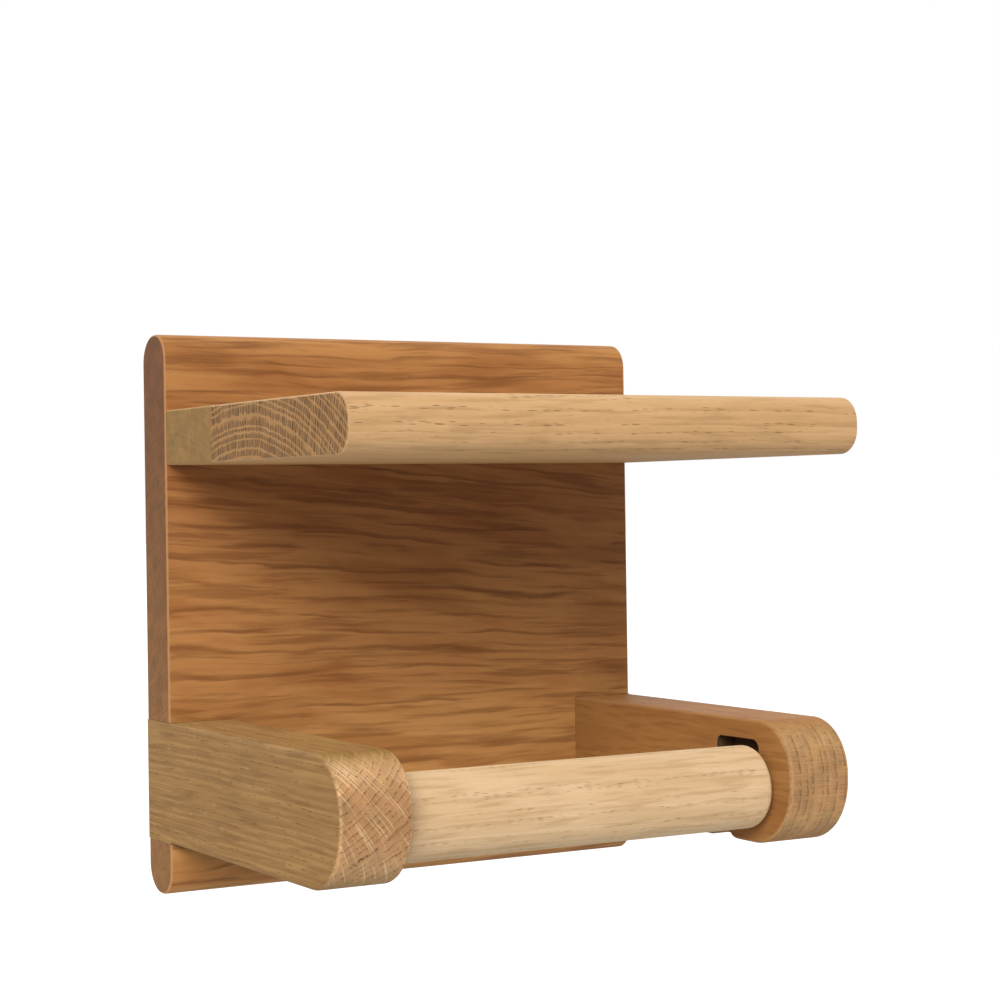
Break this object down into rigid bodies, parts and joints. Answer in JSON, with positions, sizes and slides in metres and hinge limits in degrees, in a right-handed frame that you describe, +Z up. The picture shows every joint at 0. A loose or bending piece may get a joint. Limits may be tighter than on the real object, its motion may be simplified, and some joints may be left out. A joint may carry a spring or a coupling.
{
  "type": "toilet roll holder",
  "caption": "Wall-hung wooden toilet roll holder: flat back board, deep shelf above, round-ended side arms and a lift-out turning roller between them.",
  "frame": {"origin": "on the wall face, at the middle of the back board's width and height", "axes": "+X to the viewer's right along the board, +Y into the wall, +Z up"},
  "size_m": [0.17, 0.146, 0.175],
  "materials": {
    "oak_board": "oiled, long grain across the width",
    "oak_shelf": "oiled, long grain across the width",
    "oak_arm": "oiled, long grain front to back",
    "oak_roller": "turned and oiled, long grain along the axis",
    "axle_steel": "drawn rod",
    "dowel_wood": "plain beech",
    "screw_steel": "zinc plated",
    "hanger_steel": "zinc plated"
  },
  "bodies": {
    "frame": {"back_board": "oak_board", "shelf_rear_stave": "oak_shelf", "shelf_front_stave": "oak_shelf", "left_arm": "oak_arm", "right_arm": "oak_arm", "arm_dowels": "dowel_wood", "shelf_screws": "screw_steel", "left_hanger": "hanger_steel", "right_hanger": "hanger_steel", "hanger_screws": "screw_steel"},
    "axle": {"roller_axle": "axle_steel"},
    "roller": {"roller": "oak_roller"}
  },
  "joints": [
    {"name": "roller_lift", "type": "slide", "parent": "frame", "child": "axle", "axis": [0, 0, 1], "range_m": [0, 0.011]},
    {"name": "roller_spin", "type": "hinge", "parent": "axle", "child": "roller", "pos_m": [0, -0.12, -0.0536], "axis": [1, 0, 0], "continuous": true}
  ]
}
